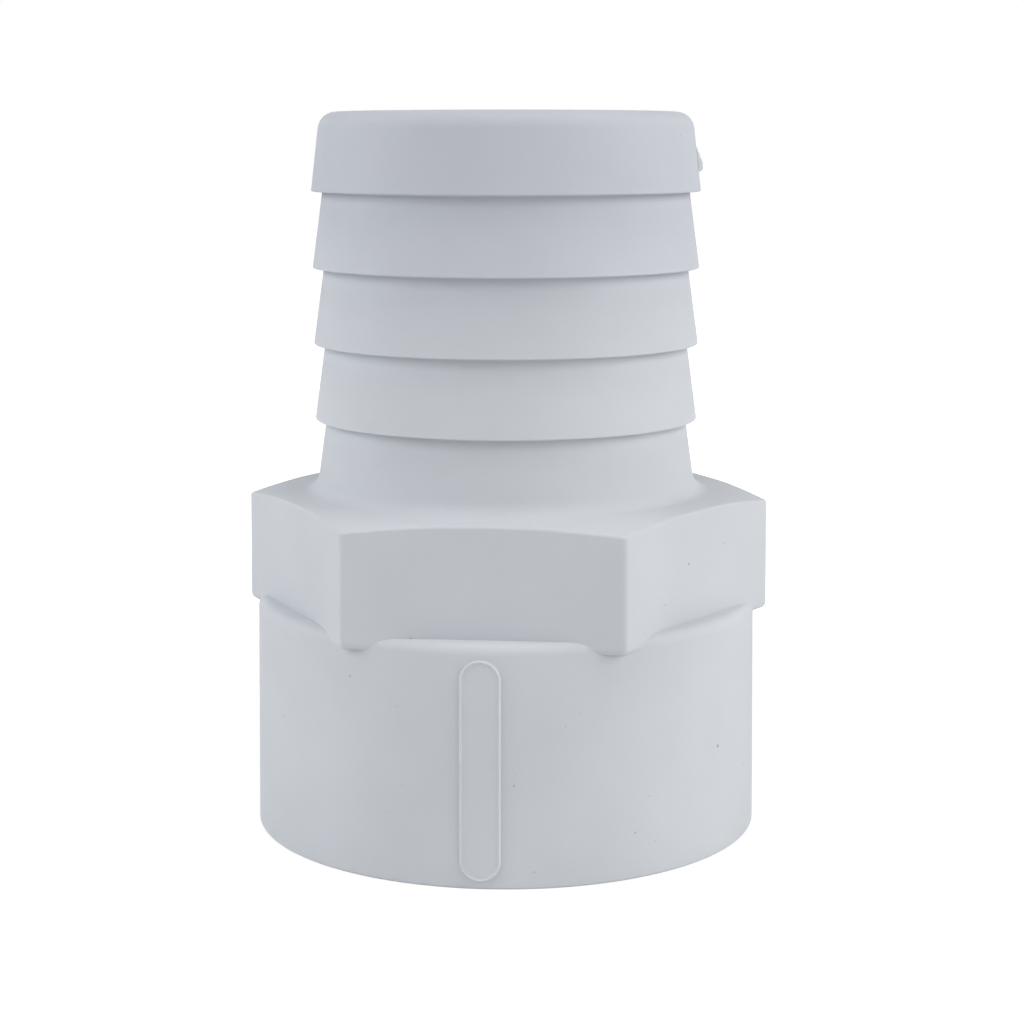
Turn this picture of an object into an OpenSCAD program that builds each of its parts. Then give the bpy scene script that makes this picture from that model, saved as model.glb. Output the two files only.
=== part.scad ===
// Threaded hose barb, moulded in one piece: a round socket for a pipe thread, a hexagon for the
// spanner and a barbed tail that a hose is pushed over, with one passage through all three.
// It stands on the open end of the socket. The origin is at the centre of that end and +Z runs
// along the passage towards the tail. The hexagon has flats on -Y and +Y and corners on -X and +X.

/* [Socket] */
// Outside diameter at the open end
socket_d = 69.2; // [68:0.2:71]
// Taper of the outside, in degrees, so that the moulding leaves its mould
socket_draft = 0.74; // [0.3:0.02:1]
// Height of the ledge that closes the socket round the hexagon
socket_h = 31.5; // [30.5:0.25:33]
// Round of the ledge's outer edge
shoulder_round = 1.5; // [0.6:0.05:1.7]
// Round of the outer edge at the open end
rim_round = 0.4; // [0.2:0.05:0.8]

/* [Thread bore] */
// Diameter at the root of the thread, which is the plain wall of this bore
thread_root_d = 59.8; // [59.2:0.1:60.4]
// Depth from the open end to the washer seat
seat_depth = 26.5; // [22:0.5:27.5]
// Chamfer that leads the mating thread in
lead_in = 0.9; // [0.4:0.1:1.4]

/* [Hexagon] */
// Distance across the flats, at the underside of the hexagon
hex_af = 62.5; // [62:0.1:63.5]
// Taper of the flats, in degrees
hex_draft = 0.55; // [0.2:0.05:1]
// How far the underside of the corners lies below the ledge
hex_drop = 1.75; // [0.8:0.05:2.2]
// Height of the middle of a flat, from the underside to the crown
hex_h = 16.1; // [15:0.1:18]
// How much the sharp corners are broken
corner_break = 0.15; // [0.05:0.01:0.4]
// Round of the corners' upper and lower ends
corner_round = 1; // [0.5:0.1:1.2]
// Slope of the crown, which is the hexagon's shallow conical top, in degrees
crown_slope = 6; // [2:0.5:14]
// Slope of the crown on the corners, in degrees
corner_slope = 13; // [6:0.5:20]
// How far outside the middles of the flats the crown turns to that slope
corner_start = 0.5; // [0.2:0.1:2]

/* [Foot of the tail] */
// Diameter where the flared foot and the crown would meet without their hollow round
foot_d = 52.5; // [52.2:0.1:53.6]
// Rise of the foot from the crown to the neck
foot_rise = 2.05; // [1.6:0.05:2.6]
// Hollow round where the foot runs into the crown
foot_round = 2.2; // [1:0.1:3]

/* [Barbed tail] */
// Number of barbs
barbs = 4; // [2:1:6]
// Distance from one barb to the next
barb_pitch = 10.2; // [8:0.2:13]
// Diameter over the lowest barb
barb_d = 52.1; // [51:0.1:54]
// Growth in diameter from one barb to the next above it
barb_growth = 0.14; // [0:0.02:0.3]
// Depth of the flat underside of a barb
barb_depth = 1.5; // [1:0.1:2]
// Round of a barb's sharp edge
barb_round = 0.3; // [0.2:0.05:0.6]
// Hollow round in the corner under a barb
root_round = 0.3; // [0.2:0.05:0.6]
// Diameter of the neck where it stands on the foot
neck_d = 51.25; // [51:0.05:53]
// Height of the neck, from the foot to the lowest barb
neck_h = 7.6; // [6:0.1:10]
// Length of the top barb, from its edge to the mouth
mouth_h = 10.5; // [8:0.1:13]
// Diameter that the top barb would have at the mouth if its edge were sharp
mouth_d = 50; // [49:0.1:51.5]
// Round of the mouth's outer edge
mouth_round = 2.4; // [1.5:0.1:2.8]

/* [Passage] */
// Diameter through the tail
passage_d = 42; // [38:0.5:43]
// Diameter inside the hexagon, between the washer seat and the funnel
chamber_d = 51; // [48:0.5:54]
// Height of that wider chamber above the washer seat
chamber_h = 11.5; // [8:0.5:12]
// Length of the funnel that narrows it to the tail
funnel_h = 8; // [6:0.5:10]
// Chamfer of the passage at the mouth
mouth_chamfer = 0.6; // [0.3:0.1:1]

/* [Marking pad] */
// Width of the raised pad
pad_w = 5.25; // [4:0.25:10]
// Length of the pad along the socket
pad_l = 28.7; // [20:0.1:29]
// Gap between the pad and the open end of the socket
pad_gap = 1.15; // [0.8:0.05:1.2]
// How far the pad stands out of the socket
pad_rise = 0.28; // [0.15:0.01:0.6]

/* [Gate mark] */
// Height of the top of the broken-off gate, below the mouth
gate_below_mouth = 4.65; // [4:0.05:5]
// Length of the mark along the tail
gate_l = 3.45; // [2:0.05:4]
// How far it stands out of the top barb
gate_out = 0.6; // [0.3:0.05:0.9]
// Width of the mark round the tail
gate_w = 2.2; // [1:0.1:4]

/* [Hidden] */
$fn = 84;

// Straight steps that an arc in an outline is made of
arc_steps = 4;
// How far a cut runs past the solid that it opens
past = 1;
// Straight stretch left between the two rounds at each end of the pad
pad_end_flat = 0.1;

shell_colour = [0.80, 0.83, 0.86];

underside_z = socket_h - hex_drop;
crown_z = underside_z + hex_h;

// The flats' distance from the axis at a height
function flat_at(z) = hex_af / 2 - (z - underside_z) * tan(hex_draft);

// The broken corners' distance from the axis at a height
function corner_at(z) = flat_at(z) / cos(30) - corner_break;

// The crown's height at a distance from the axis, as far out as its turn
function crown_at(r) = crown_z - (r - flat_at(crown_z)) * tan(crown_slope);

crown_turn_r = flat_at(crown_z) + corner_start;
crown_turn_z = crown_at(crown_turn_r);
corner_top_z = crown_turn_z - (corner_at(crown_z) - crown_turn_r) * tan(corner_slope);
foot_r = foot_d / 2;
foot_z = crown_at(foot_r);
neck_z = foot_z + foot_rise;
lowest_barb_z = neck_z + neck_h;
mouth_z = lowest_barb_z + (barbs - 1) * barb_pitch + mouth_h;

passage_r = passage_d / 2;
chamber_r = chamber_d / 2;
thread_r = thread_root_d / 2;
funnel_z = seat_depth + chamber_h;

pad_top_z = pad_gap + pad_l;
gate_top_z = mouth_z - gate_below_mouth;

function barb_z(i) = lowest_barb_z + i * barb_pitch;
function barb_r(i) = (barb_d + i * barb_growth) / 2;

// The radius of the top barb's cone at a height
function top_barb_at(z) = mouth_d / 2 + (barb_r(barbs - 1) - mouth_d / 2) * (mouth_z - z) / mouth_h;

// The broken gate from its lower end up: shares of its length and of its reach
gate_steps = [[0, 0], [0.13, 0.95], [0.2, 1], [0.5, 0.88], [0.6, 0.54], [0.76, 0.52], [0.8, 0.32],
              [0.96, 0.25], [1, 0]];

// An outline is a list of corners, each [radius from the axis, height, round]. It runs outwards
// along its lowest line, up the outside and back to the axis.
function towards(a, b) = (b - a) / norm(b - a);
function place(corner) = [corner[0], corner[1]];

// The arc that rounds one corner and touches the two sides that meet there
function arc(before, corner, after, r) =
    let (back = towards(corner, before))
    let (on = towards(corner, after))
    let (half = acos(back * on) / 2)
    let (centre = corner + towards([0, 0], back + on) * r / sin(half))
    let (start = corner + back * r / tan(half) - centre)
    let (turn = cross(-back, on) > 0 ? 1 : -1)
    [for (i = [0 : arc_steps])
        let (a = atan2(start[1], start[0]) + turn * (180 - 2 * half) * i / arc_steps)
        centre + r * [cos(a), sin(a)]];

// The outline's points, with its corners rounded
function rounded(outline) =
    let (n = len(outline))
    [for (i = [0 : n - 1])
        let (before = place(outline[(i + n - 1) % n]))
        let (corner = place(outline[i]))
        let (after = place(outline[(i + 1) % n]))
        each outline[i][2] == 0 ? [corner] : arc(before, corner, after, outline[i][2])];

// The solid that turns an outline about the axis
module turned(outline) {
    rotate_extrude()
        polygon(rounded(outline));
}

// The socket's outside, or a skin that stands out of it by rise
function socket_outline(rise) =
    let (draft_r = socket_h * tan(socket_draft))
    [[0, 0, 0],
     [socket_d / 2 + rise, 0, rim_round],
     [socket_d / 2 - draft_r + rise, socket_h, shoulder_round],
     [0, socket_h, 0]];

module socket() {
    color(shell_colour)
        turned(socket_outline(0));
}

// The hexagon's blank as it would be turned, up to the foot and the neck
hexagon_outline =
    [[0, underside_z, 0],
     [corner_at(underside_z), underside_z, corner_round],
     [corner_at(crown_z), corner_top_z, corner_round],
     [crown_turn_r, crown_turn_z, 0],
     [foot_r, foot_z, foot_round],
     [neck_d / 2, neck_z, 0]];

// The corner under a barb and the barb's edge, for each barb from the lowest up
barb_outline =
    [for (i = [0 : barbs - 1])
        each [[barb_r(i) - barb_depth, barb_z(i), root_round],
              [barb_r(i), barb_z(i), barb_round]]];

mouth_outline =
    [[mouth_d / 2, mouth_z, mouth_round],
     [0, mouth_z, 0]];

// Two opposite flats of the hexagon, as the tapered slab between them
module flats() {
    wide = flat_at(0);
    narrow = flat_at(mouth_z + past);
    rotate([90, 0, 90])
        linear_extrude(height = 2 * hex_af, center = true)
            polygon([[-wide, 0], [wide, 0], [narrow, mouth_z + past], [-narrow, mouth_z + past]]);
}

// The three slabs together
module hexagon_flats() {
    intersection() {
        flats();
        rotate([0, 0, 60])
            flats();
        rotate([0, 0, 120])
            flats();
    }
}

// The turned hexagon, foot and barbs, with the six flats cut on the hexagon
module hexagon_and_tail() {
    color(shell_colour)
        intersection() {
            turned(concat(hexagon_outline, barb_outline, mouth_outline));
            hexagon_flats();
        }
}

// The raised pad on the front of the socket, bare, for a plain mark
module marking_pad() {
    half = pad_w / 2;
    end_round = half - pad_end_flat / 2;
    color(shell_colour)
        intersection() {
            turned(socket_outline(pad_rise));
            rotate([90, 0, 0])
                linear_extrude(height = socket_d)
                    polygon(rounded([[-half, pad_gap, end_round],
                                     [half, pad_gap, end_round],
                                     [half, pad_top_z, end_round],
                                     [-half, pad_top_z, end_round]]));
        }
}

// What the mould's gate left on the side of the top barb, broken off in steps and rooted in the wall
module gate_mark() {
    root = gate_w / 2;
    low = gate_top_z - gate_l;
    broken = [for (step = gate_steps)
        let (z = low + step[0] * gate_l)
        [top_barb_at(z) + step[1] * gate_out, z]];
    color(shell_colour)
        rotate([90, 0, 0])
            linear_extrude(height = gate_w, center = true)
                polygon(concat([[top_barb_at(low) - root, low]],
                               broken,
                               [[top_barb_at(gate_top_z) - root, gate_top_z]]));
}

// The passage: lead-in, thread bore, washer seat, chamber, funnel and tail bore
module passage() {
    rotate_extrude()
        polygon([[0, -past],
                 [thread_r + lead_in + past, -past],
                 [thread_r, lead_in],
                 [thread_r, seat_depth],
                 [chamber_r, seat_depth],
                 [chamber_r, funnel_z],
                 [passage_r, funnel_z + funnel_h],
                 [passage_r, mouth_z - mouth_chamfer],
                 [passage_r + mouth_chamfer + past, mouth_z + past],
                 [0, mouth_z + past]]);
}

// The whole moulding
module hose_barb() {
    difference() {
        union() {
            socket();
            hexagon_and_tail();
            marking_pad();
            gate_mark();
        }
        passage();
    }
}

hose_barb();
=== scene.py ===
"""The looks of a threaded hose barb, a pipe fitting moulded in one piece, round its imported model.

Heights and radii are in millimetres, from the centre of the socket's open end, and MM turns them
into Blender's metres. The part stands on that end, +Z is the way to the hose, and -Y is the front.
"""

import math

import bmesh
import bpy
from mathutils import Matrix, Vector


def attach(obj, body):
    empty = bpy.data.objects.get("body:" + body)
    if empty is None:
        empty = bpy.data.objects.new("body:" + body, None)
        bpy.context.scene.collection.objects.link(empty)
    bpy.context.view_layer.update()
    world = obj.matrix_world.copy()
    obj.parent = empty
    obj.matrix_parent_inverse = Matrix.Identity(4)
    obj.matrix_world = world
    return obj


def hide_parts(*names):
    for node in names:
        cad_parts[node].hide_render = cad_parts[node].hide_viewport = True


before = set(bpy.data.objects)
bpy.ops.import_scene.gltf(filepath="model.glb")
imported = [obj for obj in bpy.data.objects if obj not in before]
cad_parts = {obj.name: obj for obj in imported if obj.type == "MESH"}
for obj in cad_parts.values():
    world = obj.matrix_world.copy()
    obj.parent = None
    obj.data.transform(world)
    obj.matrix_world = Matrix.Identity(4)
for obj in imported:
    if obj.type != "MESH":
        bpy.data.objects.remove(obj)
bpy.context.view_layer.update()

MM = 0.001

# Socket. The wide round end that a threaded pipe screws into, the lowest part of the moulding.
# It is turned from a ring of corners, drafted as the mould needs, with a small round at the
# open end and a larger one at the shoulder, where the ledge runs in to the hexagon.

SOCKET_SIDES = 240
SOCKET_R = 34.6
SOCKET_DRAFT = math.tan(math.radians(0.74))
LEDGE_Z = 31.5
SOCKET_TOP_R = SOCKET_R - LEDGE_Z * SOCKET_DRAFT
OPEN_END_ROUND = 0.4
SHOULDER_ROUND = 1.3
# Outlines start and end at this radius, inside the passage that is cut out later
CORE_R = 20


def socket_r(z):
    """Radius of the socket's drafted wall at a height."""
    return SOCKET_R - (SOCKET_R - SOCKET_TOP_R) * z / LEDGE_Z


def rounded(corners, steps=6, hold=0.1):
    """An outline's points. Each corner is (radius, height, round); hold is how far beside a
    round the straight side gets a point of its own, which keeps its shading flat."""
    points = []
    for i, (r, z, size) in enumerate(corners):
        if size == 0:
            points.append((r, z))
            continue
        before, after = corners[i - 1], corners[i + 1]
        back = unit((before[0] - r, before[1] - z))
        on = unit((after[0] - r, after[1] - z))
        half = math.acos(back[0] * on[0] + back[1] * on[1]) / 2
        reach = size / math.tan(half)
        middle = unit((back[0] + on[0], back[1] + on[1]))
        centre = [c + m * size / math.sin(half) for c, m in zip((r, z), middle)]
        start = math.atan2(z + back[1] * reach - centre[1], r + back[0] * reach - centre[0])
        turn = math.copysign(math.pi - 2 * half, on[0] * back[1] - on[1] * back[0])
        points.append((r + back[0] * (reach + hold), z + back[1] * (reach + hold)))
        for k in range(steps + 1):
            a = start + turn * k / steps
            points.append((centre[0] + size * math.cos(a), centre[1] + size * math.sin(a)))
        points.append((r + on[0] * (reach + hold), z + on[1] * (reach + hold)))
    return points


def unit(v):
    length = math.hypot(*v)
    return v[0] / length, v[1] / length


def first_ring(name, sides, place):
    """Starts a piece from a ring of corners and stays in edit mode, with the ring selected.
    place gives an angle's radius and height."""
    bpy.ops.object.select_all(action="DESELECT")
    bpy.ops.mesh.primitive_circle_add(vertices=sides, radius=1, fill_type="NGON")
    piece = bpy.context.object
    piece.name = name
    bpy.ops.object.mode_set(mode="EDIT")
    bpy.ops.mesh.select_all(action="SELECT")
    put_ring(place)
    return piece


def put_ring(place):
    """Puts the selected ring's corners where place says, each on its own angle."""
    mesh = bmesh.from_edit_mesh(bpy.context.object.data)
    for corner in mesh.verts:
        if corner.select:
            angle = math.atan2(corner.co.y, corner.co.x)
            r, z = place(angle)
            corner.co = (r * MM * math.cos(angle), r * MM * math.sin(angle), z * MM)


def next_ring(place):
    """Extrudes the selected ring and puts its corners in their new places."""
    bpy.ops.mesh.extrude_region_move()
    put_ring(place)


def close_piece():
    """Turns the shell's faces outwards and leaves edit mode."""
    bpy.ops.mesh.select_all(action="SELECT")
    bpy.ops.mesh.normals_make_consistent(inside=False)
    bpy.ops.object.mode_set(mode="OBJECT")


def turned(name, sides, outline):
    """A solid of revolution, closed by a flat face at each end of its outline."""
    places = [lambda angle, p=p: p for p in outline]
    piece = first_ring(name, sides, places[0])
    for place in places[1:]:
        next_ring(place)
    close_piece()
    return piece


socket = turned("socket", SOCKET_SIDES, rounded([
    (CORE_R, 0, 0),
    (SOCKET_R, 0, OPEN_END_ROUND),
    (SOCKET_TOP_R, LEDGE_Z, SHOULDER_ROUND),
    (CORE_R, LEDGE_Z, 0)]))

# Hexagon and barbed tail. The spanner's six drafted flats run up to a shallow conical crown, and
# the flared foot of the tail grows out of it. Four saw-tooth barbs hold the hose. The corners of
# the ring lie closer together at the hexagon's six edges, which keeps those edges round.

TAIL_SIDES = 240
CROWDING = 0.9
FLAT_R = 31.25
FLAT_DRAFT = math.tan(math.radians(0.55))
UNDERSIDE_Z = 29.75
CROWN_Z = 45.85
FLAT_TOP_R = FLAT_R - (CROWN_Z - UNDERSIDE_Z) * FLAT_DRAFT
CROWN_SLOPE = math.tan(math.radians(6))
CORNER_SLOPE = math.tan(math.radians(13))
# Where the crown turns to the steeper slope of its corners, and how softly
TURN_R = FLAT_R + 0.345
TURN_SOFTNESS = 0.3
EDGE_ROUND = 0.9
LEAST_EDGE_ROUND = 0.2
LOWER_ROUND = 1.0
RIM_ROUND = 0.35
RIM_STEPS = 7
# How far beside the rounds the flats and the underside get a ring that keeps their shading flat
FLAT_HOLD = 0.15
UNDERSIDE_HOLD = 0.1


def from_corner(angle):
    """How far an angle lies from the nearest edge of the hexagon."""
    return abs((angle + math.pi / 6) % (math.pi / 3) - math.pi / 6)


def hexagon_r(angle, flat, edge_round):
    """Distance from the axis to a hexagon with round edges, whose flats lie at flat."""
    away = from_corner(angle)
    centre = (flat - edge_round) / math.cos(math.pi / 6)
    start = math.atan2(edge_round / 2, centre + edge_round * math.cos(math.pi / 6))
    if away > start:
        return flat / math.cos(math.pi / 6 - away)
    return centre * math.cos(away) + math.sqrt(edge_round ** 2 - (centre * math.sin(away)) ** 2)


def crown_z(r):
    """The crown's height, on a slope that turns softly to the steeper one of the corners."""
    past = (r - TURN_R + math.hypot(r - TURN_R, TURN_SOFTNESS)) / 2
    return CROWN_Z - (r - FLAT_TOP_R) * CROWN_SLOPE - past * (CORNER_SLOPE - CROWN_SLOPE)


def flank(inset, z):
    """A ring on the flats, or inset from them."""
    flat = FLAT_R - (z - UNDERSIDE_Z) * FLAT_DRAFT - inset
    return lambda angle: (hexagon_r(angle, flat, max(EDGE_ROUND - inset, LEAST_EDGE_ROUND)), z)


def rim(inset, drop):
    """A ring round the crown's rim, which follows the cone up and down along each flat."""
    def place(angle):
        r = hexagon_r(angle, FLAT_TOP_R - inset, max(EDGE_ROUND - inset, LEAST_EDGE_ROUND))
        return r, crown_z(r) - drop
    return place


def on_crown(share, inner_r):
    """A ring on the cone, part of the way from the rim to a circle."""
    outer = rim(RIM_ROUND, 0)

    def place(angle):
        r = outer(angle)[0] * (1 - share) + inner_r * share
        return r, crown_z(r)
    return place


def crowded(angle):
    """The ring's even angles, drawn towards the six edges of the hexagon."""
    return angle - CROWDING * math.sin(6 * angle) / 6


tail = first_ring("tail", TAIL_SIDES, lambda angle: (CORE_R, UNDERSIDE_Z))
ring = bmesh.from_edit_mesh(tail.data)
for corner in ring.verts:
    a = crowded(math.atan2(corner.co.y, corner.co.x))
    corner.co = (CORE_R * MM * math.cos(a), CORE_R * MM * math.sin(a), UNDERSIDE_Z * MM)

# The flats, from their rounded lower edge to the rim of the crown
next_ring(flank(LOWER_ROUND + UNDERSIDE_HOLD, UNDERSIDE_Z))
for degrees in range(0, 91, 15):
    a = math.radians(degrees)
    inset, rise = LOWER_ROUND * (1 - math.sin(a)), LOWER_ROUND * (1 - math.cos(a))
    next_ring(flank(inset, UNDERSIDE_Z + rise))
next_ring(flank(0, UNDERSIDE_Z + LOWER_ROUND + FLAT_HOLD))
rim_turn = math.pi / 2 - math.atan(CROWN_SLOPE)
rim_reach = RIM_ROUND * math.tan(rim_turn / 2)
next_ring(rim(0, rim_reach + FLAT_HOLD))
for k in range(RIM_STEPS + 1):
    a = rim_turn * k / RIM_STEPS
    inset = RIM_ROUND * (1 - math.cos(a))
    next_ring(rim(inset, rim_reach - RIM_ROUND * math.sin(a) + inset * CROWN_SLOPE))

# The crown runs in to its crease, and from there the foot, neck, barbs and mouth are turned
FOOT_R = 26.25
FOOT_ROUND = 2.2
CREASE_R = 28.0
FLARE_L = 2.05
NECK_R = 25.625
NECK_Z = crown_z(FOOT_R) + FLARE_L
NECK_L = 7.6
BARBS = 4
BARB_Z = NECK_Z + NECK_L
BARB_PITCH = 10.2
BARB_R = 26.05
BARB_GROWTH = 0.07
BARB_DEPTH = 1.5
BARB_ROOT_ROUND = 0.15
BARB_EDGE_ROUND = 0.14
TOP_BARB_R = BARB_R + (BARBS - 1) * BARB_GROWTH
TOP_BARB_L = 10.5
MOUTH_Z = BARB_Z + (BARBS - 1) * BARB_PITCH + TOP_BARB_L
MOUTH_R = 25
MOUTH_ROUND = 2.4
MOUTH_CORE_R = 15

for share in (0.06, 0.3, 0.5, 0.75, 1):
    next_ring(on_crown(share, CREASE_R))
barbs = []
for k in range(BARBS):
    z = BARB_Z + k * BARB_PITCH
    edge_r = BARB_R + BARB_GROWTH * k
    barbs += [(edge_r - BARB_DEPTH, z, BARB_ROOT_ROUND), (edge_r, z, BARB_EDGE_ROUND)]
# The outline's first point only gives it the crown's slope, and isn't made a ring
before_crease_r = CREASE_R + 2
tail_outline = rounded([
    (before_crease_r, crown_z(before_crease_r), 0),
    (FOOT_R, crown_z(FOOT_R), FOOT_ROUND),
    (NECK_R, NECK_Z, 0)] + barbs + [
    (MOUTH_R, MOUTH_Z, MOUTH_ROUND),
    (MOUTH_CORE_R, MOUTH_Z, 0)])
for r, z in tail_outline[1:]:
    next_ring(lambda angle, p=(r, z): p)
close_piece()

# Marking pad. A long raised pad with round ends on the front of the socket, left bare. Its
# straight sides and its two ends are one ring of corners, stepped up and in over a drafted edge
# with a faint lip, and then laid on the socket's wall.

PAD_SIDES = 96
PAD_HALF_W = 2.625
PAD_HALF_L = 14.3
PAD_Z = 15.35
PAD_ROOT = 1
PAD_ROOT_OUTSET = 0.03
PAD_RISE = 0.4
PAD_EDGE = 0.19
PAD_LIP = 0.16
LIP_SOFTNESS = 0.02


def stadium(share):
    """A point of the pad's outline and the way out from it, for a share of the way round."""
    quarter, along = divmod(share * 4, 1)
    straight = PAD_HALF_L - PAD_HALF_W
    if quarter % 2 == 0:
        a = math.pi * (along - 0.5) + (math.pi / 2 if quarter == 0 else -math.pi / 2)
        n = math.cos(a), math.sin(a)
        return (PAD_HALF_W * n[0], PAD_HALF_W * n[1] + math.copysign(straight, 1 - quarter)), n
    side = 1 if quarter == 3 else -1
    return (side * PAD_HALF_W, side * straight * (2 * along - 1)), (side, 0)


def pad_ring(inset, rise):
    """Puts the selected ring's corners round the pad, in the order that they already have. The
    first of them goes half a step past the middle of the right side, 7/8 of the way round."""
    mesh = bmesh.from_edit_mesh(bpy.context.object.data)
    corners = [v for v in mesh.verts if v.select]
    corners.sort(key=lambda v: math.atan2(v.co.y, v.co.x) % (2 * math.pi))
    for k, corner in enumerate(corners):
        (u, v), n = stadium(((k + 0.5) / PAD_SIDES + 7 / 8) % 1)
        corner.co = ((u - inset * n[0]) * MM, (v - inset * n[1]) * MM, rise * MM)


pad = first_ring("pad", PAD_SIDES, lambda angle: (1, 0))
pad_ring(-PAD_ROOT_OUTSET, -PAD_ROOT)
# Each step is (inset, rise): the drafted edge, the lip's narrow top, its inner side, the field
field = PAD_RISE - PAD_LIP
pad_steps = [(0, 0), (PAD_EDGE - LIP_SOFTNESS, PAD_RISE - LIP_SOFTNESS), (PAD_EDGE, PAD_RISE),
             (PAD_EDGE + 0.04, PAD_RISE), (PAD_EDGE + 0.06, PAD_RISE - LIP_SOFTNESS),
             (PAD_EDGE + 0.2, field + 0.01), (PAD_EDGE + 0.23, field)]
pad_steps += [(inset, field) for inset in (0.8, 1.4, 2.0, 2.5)]
for inset, rise in pad_steps:
    bpy.ops.mesh.extrude_region_move()
    pad_ring(inset, rise)
close_piece()
for corner in pad.data.vertices:
    across, along, rise = (c / MM for c in corner.co)
    z = PAD_Z + along
    r = socket_r(z) + rise
    corner.co = (across * MM, -math.sqrt(r * r - across * across) * MM, z * MM)

# Gate mark. Where the plastic ran into the mould, on the right of the top barb, the gate was
# broken off and left a small torn lump. It is a block whose outer face follows the tear.

GATE_TOP_Z = MOUTH_Z - 4.65
GATE_L = 3.25
GATE_HALF_W = 1.1
GATE_OUT = 0.6
GATE_ROOT = 0.9
GATE_CUTS = 11
# How far the tear stands out on its way up: (share of the mark's height, share of GATE_OUT)
TEAR = [(0, 0.1), (0.1, 0.9), (0.2, 1), (0.42, 0.93), (0.52, 0.86), (0.6, 0.52), (0.76, 0.5),
        (0.81, 0.3), (0.95, 0.22), (1, 0.02)]


def torn(share):
    """How far the tear stands out at a share of the mark's height."""
    for (low, out), (high, next_out) in zip(TEAR, TEAR[1:]):
        if share <= high:
            return out + (next_out - out) * (share - low) / (high - low)
    return TEAR[-1][1]


def top_barb_r(z):
    """Radius of the top barb's cone at a height."""
    return MOUTH_R + (TOP_BARB_R - MOUTH_R) * (MOUTH_Z - z) / TOP_BARB_L


bpy.ops.object.select_all(action="DESELECT")
bpy.ops.mesh.primitive_cube_add(size=2)
gate = bpy.context.object
gate.name = "gate"
bpy.ops.object.mode_set(mode="EDIT")
bpy.ops.mesh.subdivide(number_cuts=GATE_CUTS)
bpy.ops.object.mode_set(mode="OBJECT")
for corner in gate.data.vertices:
    depth, across, up = corner.co
    share = (up + 1) / 2
    # Small ripples of the tear, and sides that are worn lower than its middle
    ragged = 0.1 * math.sin(9 * across + 4 * up) + 0.07 * math.sin(23 * up - 11 * across)
    worn = 1 - abs(across) ** 3 * 0.85
    z = GATE_TOP_Z - GATE_L * (1 - share)
    reach = GATE_ROOT + GATE_OUT * torn(share) * worn * (1 + ragged - 0.03)
    half_w = GATE_HALF_W * (1 - 0.12 * ragged - 0.1 * share)
    out = top_barb_r(z) - GATE_ROOT + (depth + 1) / 2 * reach
    corner.co = (out * MM, across * half_w * MM, z * MM)

# Passage. One hollow runs through the part: the bore that carries the pipe thread, the flat seat
# for a washer, a wider chamber inside the hexagon, and a funnel down to the bore of the tail.

THREAD_R = 29.9
LEAD_IN = 0.9
SEAT_Z = 26.5
CHAMBER_R = 25.5
FUNNEL_Z = 38.0
FUNNEL_L = 8
BORE_R = 21
MOUTH_CHAMFER = 0.6
# How far the cutter goes past both ends of the part, on the slopes of its chamfers
PAST = 1
passage = turned("passage", SOCKET_SIDES, rounded([
    (THREAD_R + LEAD_IN + PAST, -PAST, 0),
    (THREAD_R, LEAD_IN, 0.2),
    (THREAD_R, SEAT_Z, 0.3),
    (CHAMBER_R, SEAT_Z, 0.25),
    (CHAMBER_R, FUNNEL_Z, 2),
    (BORE_R, FUNNEL_Z + FUNNEL_L, 3),
    (BORE_R, MOUTH_Z - MOUTH_CHAMFER, 0.2),
    (BORE_R + MOUTH_CHAMFER + PAST, MOUTH_Z + PAST, 0)]))

# Pipe thread. A right-hand ridge of eleven turns to the inch, with flanks at 55 degrees to each
# other and a round crest, winds up the bore. It rises out of the wall behind the lead-in chamfer
# and runs out into it again below the washer seat.

PITCH = 25.4 / 11
THREAD_DEPTH = 1.479
THREAD_CREST_R = THREAD_R - THREAD_DEPTH
THREAD_TOP_Z = 23.4
TURNS = 9
STEPS_A_TURN = 96
RUN_OUT_STEPS = 32
RUN_OUT_SUNK = 0.05
# Half of the ridge's section, as (radius, half of its width there)
half_section = [(THREAD_R + 0.15, 1.03), (THREAD_R, 0.96), (THREAD_CREST_R + 0.32, 0.36),
                (THREAD_CREST_R + 0.14, 0.26), (THREAD_CREST_R + 0.03, 0.12)]
section = half_section + [(r, -h) for r, h in reversed(half_section)]
bpy.ops.object.select_all(action="DESELECT")
bpy.ops.mesh.primitive_circle_add(vertices=len(section), radius=1, fill_type="NOTHING")
thread = bpy.context.object
thread.name = "thread"
for corner, (r, h) in zip(thread.data.vertices, section):
    corner.co = (r * MM, 0, (h + THREAD_TOP_Z - TURNS * PITCH) * MM)
helix = thread.modifiers.new("helix", "SCREW")
helix.axis = "Z"
helix.screw_offset = PITCH * MM
helix.iterations = TURNS
helix.steps = helix.render_steps = STEPS_A_TURN
bpy.ops.object.modifier_apply(modifier="helix")
last = TURNS * STEPS_A_TURN
for k, corner in enumerate(thread.data.vertices):
    step = k // len(section)
    sink = max(0, RUN_OUT_STEPS - step, step - (last - RUN_OUT_STEPS)) / RUN_OUT_STEPS
    r = math.hypot(corner.co.x, corner.co.y)
    corner.co.xy *= 1 + sink ** 1.5 * max(0, (THREAD_R + RUN_OUT_SUNK) * MM / r - 1)
bpy.ops.object.mode_set(mode="EDIT")
bpy.ops.mesh.select_all(action="DESELECT")
bpy.ops.mesh.select_non_manifold()
bpy.ops.mesh.fill_holes(sides=0)
close_piece()

# The whole moulding. Socket, hexagon, tail, pad and gate mark are one body of plastic, opened by
# the passage, with the thread's ridge grown on its wall. The rounds are shaded smooth, and an
# edge stays an edge where two faces meet at more than SHARP_FROM.

SHARP_FROM = math.radians(32)


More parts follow.
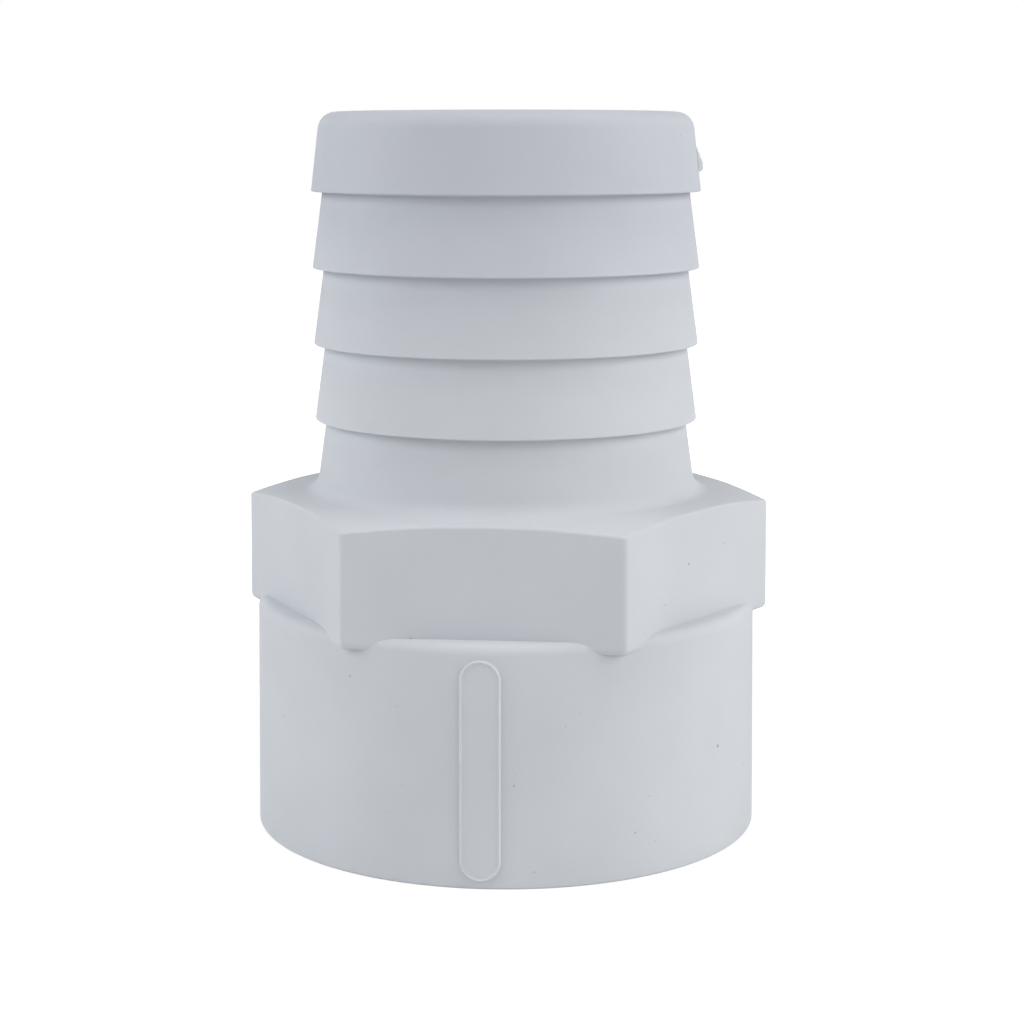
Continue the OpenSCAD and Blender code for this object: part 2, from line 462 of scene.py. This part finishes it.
def combine(body, tool, operation):
    """Joins tool to body or cuts it out of it, and removes tool."""
    step = body.modifiers.new(tool.name, "BOOLEAN")
    step.operation = operation
    step.solver = "EXACT"
    step.object = tool
    bpy.ops.object.select_all(action="DESELECT")
    bpy.context.view_layer.objects.active = body
    bpy.ops.object.modifier_apply(modifier=step.name)
    bpy.data.objects.remove(tool)


moulding = socket
for tool, operation in ((tail, "UNION"), (pad, "UNION"), (gate, "UNION"),
                        (passage, "DIFFERENCE"), (thread, "UNION")):
    combine(moulding, tool, operation)
moulding.name = moulding.data.name = "moulded_hose_barb"
moulding.select_set(True)
bpy.ops.object.shade_smooth_by_angle(angle=SHARP_FROM)
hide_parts("hose_barb")
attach(moulding, "root")

# The plastic: pale blue-grey and nearly matt, a little uneven in tone where it cooled, with painted
# shade that darkens it towards the mouth, the faintest grain of the mould, and dark specks of dirt
# that were moulded in. Each speck is (turn from the front in degrees, height, radius, darkness).

PLASTIC_COLOUR = (0.578, 0.610, 0.651)
MOTTLING = 0.03
MOTTLE_SCALE = 55
# Painted shade: between these heights the colour is multiplied by this darker, bluer grey towards
# the mouth
MOUTH_PAINTED_SHADE = (0.875, 0.875, 0.90, 1)
SHADE_FROM_Z, SHADE_FULL_Z = 55, 95
GRAIN_SCALE = 2600
GRAIN_STRENGTH = 0.25
GRAIN_DEPTH = 0.08
SMOOTHEST, ROUGHEST = 0.68, 0.78
GLOSS = 0.15
DIRT_COLOUR = (0.06, 0.05, 0.045, 1)
SPECKS = [(59.5, 14.8, 0.32, 0.85), (54.7, 39.2, 0.24, 0.75), (71, 40.6, 0.2, 0.45),
          (44, 34.8, 0.22, 0.35), (34, 6.2, 0.22, 0.45), (11.3, 2.3, 0.2, 0.4),
          (7.1, 13.6, 0.24, 0.4), (7.4, 14.9, 0.17, 0.2), (18, 21, 0.2, 0.25),
          (21.2, 22.6, 0.2, 0.25), (37.6, 10.7, 0.2, 0.3), (39.3, 4.6, 0.2, 0.35),
          (74.4, 10.2, 0.24, 0.4), (-16.2, 31.5, 0.22, 0.6), (-30, 26.1, 0.28, 0.35),
          (-53.3, 18.3, 0.24, 0.4), (-18.2, 23, 0.2, 0.2), (-17.1, 12.7, 0.2, 0.2),
          (-20.7, 9.1, 0.2, 0.2), (68.5, 94, 0.22, 0.3)]


def add_node(tree, kind, x, y, **values):
    """Adds a node at a place in the node editor, with some of its settings."""
    node = tree.nodes.new(kind)
    node.location = (x, y)
    for name, value in values.items():
        setattr(node, name, value)
    return node


def on_wall(turn, z):
    """A place on the outside, in metres."""
    angle = math.radians(turn - 90)
    if z < LEDGE_Z:
        r = socket_r(z)
    elif z < CROWN_Z:
        r = flank(0, z)(angle)[0]
    else:
        r = top_barb_r(z)
    return r * MM * math.cos(angle), r * MM * math.sin(angle), z * MM


# A round soft-edged spot: its Darkness at its Place, and 0 past its Radius
speck = bpy.data.node_groups.new("speck", "ShaderNodeTree")
for name, kind in (("Position", "Vector"), ("Place", "Vector"), ("Radius", "Float"),
                   ("Darkness", "Float")):
    speck.interface.new_socket(name, in_out="INPUT", socket_type="NodeSocket" + kind)
speck.interface.new_socket("Mask", in_out="OUTPUT", socket_type="NodeSocketFloat")
given = add_node(speck, "NodeGroupInput", -600, 0)
apart = add_node(speck, "ShaderNodeVectorMath", -400, 100, operation="DISTANCE")
soft_edge = add_node(speck, "ShaderNodeMapRange", -150, 0, interpolation_type="SMOOTHSTEP")
soft_edge.inputs["To Max"].default_value = 0
mask = add_node(speck, "NodeGroupOutput", 100, 0)
speck.links.new(given.outputs["Position"], apart.inputs[0])
speck.links.new(given.outputs["Place"], apart.inputs[1])
speck.links.new(apart.outputs["Value"], soft_edge.inputs["Value"])
speck.links.new(given.outputs["Radius"], soft_edge.inputs["From Max"])
speck.links.new(given.outputs["Darkness"], soft_edge.inputs["To Min"])
speck.links.new(soft_edge.outputs["Result"], mask.inputs["Mask"])

plastic = bpy.data.materials.new("moulded_plastic")
plastic.use_nodes = True
tree = plastic.node_tree
shader = tree.nodes["Principled BSDF"]
where = add_node(tree, "ShaderNodeTexCoord", -1200, 0)

# Uneven tone, multiplied by a painted shade that darkens the colour towards the mouth
mottle = add_node(tree, "ShaderNodeTexNoise", -900, 300)
mottle.inputs["Scale"].default_value = MOTTLE_SCALE
mottle.inputs["Detail"].default_value = 4
mottled = add_node(tree, "ShaderNodeValToRGB", -650, 300)
for end, position, change in zip(mottled.color_ramp.elements, (0.3, 0.7), (-MOTTLING, MOTTLING)):
    end.position = position
    end.color = [c * (1 + change) for c in PLASTIC_COLOUR] + [1]
height = add_node(tree, "ShaderNodeSeparateXYZ", -900, 150)
shade_towards_mouth = add_node(tree, "ShaderNodeMapRange", -650, 100, interpolation_type="SMOOTHSTEP")
shade_towards_mouth.inputs["From Min"].default_value = SHADE_FROM_Z * MM
shade_towards_mouth.inputs["From Max"].default_value = SHADE_FULL_Z * MM
painted_mouth_shade = add_node(tree, "ShaderNodeMix", -450, 200, data_type="RGBA", blend_type="MULTIPLY")
painted_mouth_shade.inputs["B"].default_value = MOUTH_PAINTED_SHADE
tree.links.new(where.outputs["Object"], mottle.inputs["Vector"])
tree.links.new(mottle.outputs["Fac"], mottled.inputs["Fac"])
tree.links.new(where.outputs["Object"], height.inputs[0])
tree.links.new(height.outputs["Z"], shade_towards_mouth.inputs["Value"])
tree.links.new(mottled.outputs["Color"], painted_mouth_shade.inputs["A"])
tree.links.new(shade_towards_mouth.outputs["Result"], painted_mouth_shade.inputs["Factor"])

# The specks, of which the darkest counts where two meet
dirt = None
for k, (turn, z, radius, darkness) in enumerate(SPECKS):
    spot = add_node(tree, "ShaderNodeGroup", -900, 500 + 160 * k, node_tree=speck)
    spot.inputs["Place"].default_value = on_wall(turn, z)
    spot.inputs["Radius"].default_value = radius * MM
    spot.inputs["Darkness"].default_value = darkness
    tree.links.new(where.outputs["Object"], spot.inputs["Position"])
    if dirt is None:
        dirt = spot.outputs["Mask"]
        continue
    either = add_node(tree, "ShaderNodeMath", -650, 500 + 160 * k, operation="MAXIMUM")
    tree.links.new(dirt, either.inputs[0])
    tree.links.new(spot.outputs["Mask"], either.inputs[1])
    dirt = either.outputs[0]
specked = add_node(tree, "ShaderNodeMix", -300, 300, data_type="RGBA")
specked.inputs["B"].default_value = DIRT_COLOUR
tree.links.new(dirt, specked.inputs["Factor"])
tree.links.new(painted_mouth_shade.outputs["Result"], specked.inputs["A"])
tree.links.new(specked.outputs["Result"], shader.inputs["Base Color"])

# The mould's grain, in the surface and in its roughness
grain = add_node(tree, "ShaderNodeTexNoise", -900, -100)
grain.inputs["Scale"].default_value = GRAIN_SCALE
grain.inputs["Detail"].default_value = 3
bump = add_node(tree, "ShaderNodeBump", -300, -250)
bump.inputs["Strength"].default_value = GRAIN_STRENGTH
bump.inputs["Distance"].default_value = GRAIN_DEPTH * MM
roughness = add_node(tree, "ShaderNodeMapRange", -300, 0)
roughness.inputs["To Min"].default_value = SMOOTHEST
roughness.inputs["To Max"].default_value = ROUGHEST
tree.links.new(where.outputs["Object"], grain.inputs["Vector"])
tree.links.new(grain.outputs["Fac"], bump.inputs["Height"])
tree.links.new(bump.outputs["Normal"], shader.inputs["Normal"])
tree.links.new(grain.outputs["Fac"], roughness.inputs["Value"])
tree.links.new(roughness.outputs["Result"], shader.inputs["Roughness"])
shader.inputs["IOR"].default_value = 1.5
shader.inputs["Specular IOR Level"].default_value = GLOSS
moulding.data.materials.clear()
moulding.data.materials.append(plastic)

# Floor and surroundings. A pale sheet under the part and an even light all round. To the camera,
# and in the plastic's gloss, both are plain white but for the part's own soft shadow close to it.

FLOOR_SIZE = 8
FLOOR_GREY = 0.86
EVEN_LIGHT = 0.04
# What the camera sees of the floor is a glow, weaker inside SHADOW_FROM than past SHADOW_TO, and
# on top of it the light on a grey sheet, which the part's shadow takes away
SHADOW_FROM, SHADOW_TO = 75, 150
GLOW_NEAR, GLOW_FAR = 0.75, 1
SHADOWED_GREY = 0.35


def grey(level):
    return level, level, level, 1


def white_or_lit(tree):
    """Mixes the shaders that camera, gloss and glass see with those that only give light."""
    seen = add_node(tree, "ShaderNodeLightPath", -900, 300)
    kinds = [seen.outputs["Is " + kind + " Ray"] for kind in ("Camera", "Glossy", "Transmission")]
    for k in (1, 2):
        either = add_node(tree, "ShaderNodeMath", -900 + 250 * k, 300, operation="MAXIMUM")
        tree.links.new(kinds[0], either.inputs[0])
        tree.links.new(kinds[k], either.inputs[1])
        kinds[0] = either.outputs[0]
    choose = add_node(tree, "ShaderNodeMixShader", 300, 0)
    tree.links.new(kinds[0], choose.inputs["Fac"])
    return choose


bpy.ops.object.select_all(action="DESELECT")
bpy.ops.mesh.primitive_plane_add(size=FLOOR_SIZE)
floor = bpy.context.object
floor.name = "floor"
sheet = bpy.data.materials.new("pale_floor")
sheet.use_nodes = True
tree = sheet.node_tree
tree.nodes.clear()
lit = add_node(tree, "ShaderNodeBsdfDiffuse", 0, -200)
lit.inputs["Color"].default_value = grey(FLOOR_GREY)
shadowed = add_node(tree, "ShaderNodeBsdfDiffuse", -150, 0)
shadowed.inputs["Color"].default_value = grey(SHADOWED_GREY)
where = add_node(tree, "ShaderNodeTexCoord", -900, 50)
away = add_node(tree, "ShaderNodeVectorMath", -650, 50, operation="LENGTH")
whiteness = add_node(tree, "ShaderNodeMapRange", -400, 50, interpolation_type="SMOOTHSTEP")
whiteness.inputs["From Min"].default_value = SHADOW_FROM * MM
whiteness.inputs["From Max"].default_value = SHADOW_TO * MM
whiteness.inputs["To Min"].default_value = GLOW_NEAR
whiteness.inputs["To Max"].default_value = GLOW_FAR
glow = add_node(tree, "ShaderNodeEmission", -150, 150)
white = add_node(tree, "ShaderNodeAddShader", 50, 100)
choose = white_or_lit(tree)
surface = add_node(tree, "ShaderNodeOutputMaterial", 600, 0)
tree.links.new(where.outputs["Object"], away.inputs[0])
tree.links.new(away.outputs["Value"], whiteness.inputs["Value"])
tree.links.new(whiteness.outputs["Result"], glow.inputs["Strength"])
tree.links.new(glow.outputs[0], white.inputs[0])
tree.links.new(shadowed.outputs[0], white.inputs[1])
tree.links.new(lit.outputs[0], choose.inputs[1])
tree.links.new(white.outputs[0], choose.inputs[2])
tree.links.new(choose.outputs[0], surface.inputs["Surface"])
floor.data.materials.append(sheet)

world = bpy.context.scene.world or bpy.data.worlds.new("World")
bpy.context.scene.world = world
world.use_nodes = True
tree = world.node_tree
tree.nodes.clear()
even = add_node(tree, "ShaderNodeBackground", 0, -150)
even.inputs["Color"].default_value = grey(EVEN_LIGHT)
backdrop = add_node(tree, "ShaderNodeBackground", 0, 50)
backdrop.inputs["Color"].default_value = grey(1)
choose = white_or_lit(tree)
surroundings = add_node(tree, "ShaderNodeOutputWorld", 600, 0)
tree.links.new(even.outputs[0], choose.inputs[1])
tree.links.new(backdrop.outputs[0], choose.inputs[2])
tree.links.new(choose.outputs[0], surroundings.inputs["Surface"])

# Lamps. Large soft panels round the part: two on the left, a stronger pair on the right, a weak
# one in front and one overhead. Each is (name, degrees from the front towards +X, degrees up,
# metres away, metres wide, light, colour); a light of 1 shows a white sheet facing it as white.

LAMPS = [
    ("left_front", -60, 28, 1.2, 0.8, 0.42, (0.97, 0.98, 1.0)),
    ("left_side", -90, 23, 1.2, 0.8, 0.27, (1.0, 0.98, 0.96)),
    ("right_front", 60, 25, 1.2, 0.8, 0.42, (0.97, 0.95, 0.94)),
    ("right_side", 90, 27, 1.2, 0.8, 0.42, (0.98, 0.98, 0.96)),
    ("front", 0, 35, 1.2, 0.8, 0.03, (1.0, 1.0, 1.0)),
    ("overhead", 0, 88, 2.0, 1.2, 0.4, (1.0, 0.96, 0.94)),
]
LAMP_AIM = Vector((0, 0, 0.05))
for name, turn, up, distance, size, light, colour in LAMPS:
    lamp = bpy.data.lights.new(name, "AREA")
    lamp.shape = "SQUARE"
    lamp.size = size
    lamp.energy = light * (math.pi * distance) ** 2
    lamp.color = colour
    turn, up = math.radians(turn), math.radians(up)
    way = Vector((math.sin(turn) * math.cos(up), -math.cos(turn) * math.cos(up), math.sin(up)))
    holder = bpy.data.objects.new(name, lamp)
    holder.location = LAMP_AIM + way * distance
    holder.rotation_euler = way.to_track_quat("Z", "Y").to_euler()
    bpy.context.scene.collection.objects.link(holder)

# Camera. It stands a little right of the front, 0.3 m from the part's axis, and looks down at it
# by nine and a half degrees.

CAMERA_TURN = math.radians(5.43)
CAMERA_DOWN = 0.1664
CAMERA_AWAY = 0.30118
CAMERA_HEIGHT = 0.09318
view = bpy.data.cameras.new("camera")
view.lens = 77.54
view.sensor_width = 36
view.shift_x = 0.0059
camera = bpy.data.objects.new("camera", view)
camera.location = (CAMERA_AWAY * math.sin(CAMERA_TURN),
                   -CAMERA_AWAY * math.cos(CAMERA_TURN),
                   CAMERA_HEIGHT)
camera.rotation_euler = (math.pi / 2 - CAMERA_DOWN, 0, CAMERA_TURN)
bpy.context.scene.collection.objects.link(camera)
bpy.context.scene.camera = camera
bpy.context.scene.view_settings.view_transform = "Standard"
